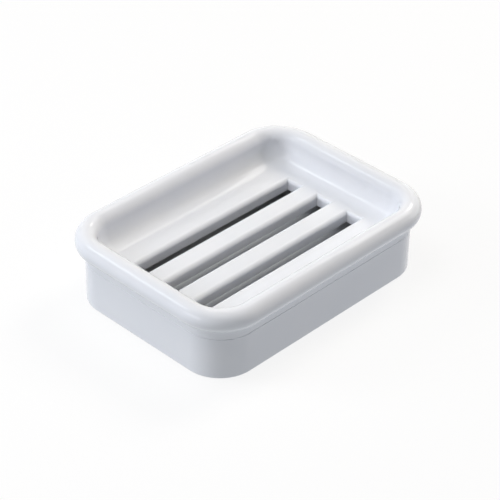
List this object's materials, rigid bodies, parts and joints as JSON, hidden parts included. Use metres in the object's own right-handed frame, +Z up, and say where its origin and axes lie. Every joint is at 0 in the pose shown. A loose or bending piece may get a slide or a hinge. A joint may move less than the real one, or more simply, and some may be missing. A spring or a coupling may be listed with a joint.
{
  "type": "soap dish",
  "caption": "Two-piece soap dish: a slotted tray with a fat rolled rim seats in a low base that catches the drips, and lifts straight out of it.",
  "frame": {"origin": "centre of the dish's outline seen from above, on the surface that the dish stands on", "axes": "+X along the dish's length and its slots, +Y to its rear long side, +Z up, the way the tray lifts out"},
  "size_m": [0.1384, 0.1014, 0.0356],
  "materials": {
    "glazed_ceramic": null,
    "pad_rubber": "matt grey rubber"
  },
  "bodies": {
    "base": {"base": "glazed_ceramic", "foot_front_left": "pad_rubber", "foot_front_right": "pad_rubber", "foot_rear_left": "pad_rubber", "foot_rear_right": "pad_rubber"},
    "tray": {"tray": "glazed_ceramic"}
  },
  "joints": [
    {"name": "tray_lift", "type": "slide", "parent": "base", "child": "tray", "axis": [0, 0, 1], "range_m": [0, 0.03]}
  ]
}
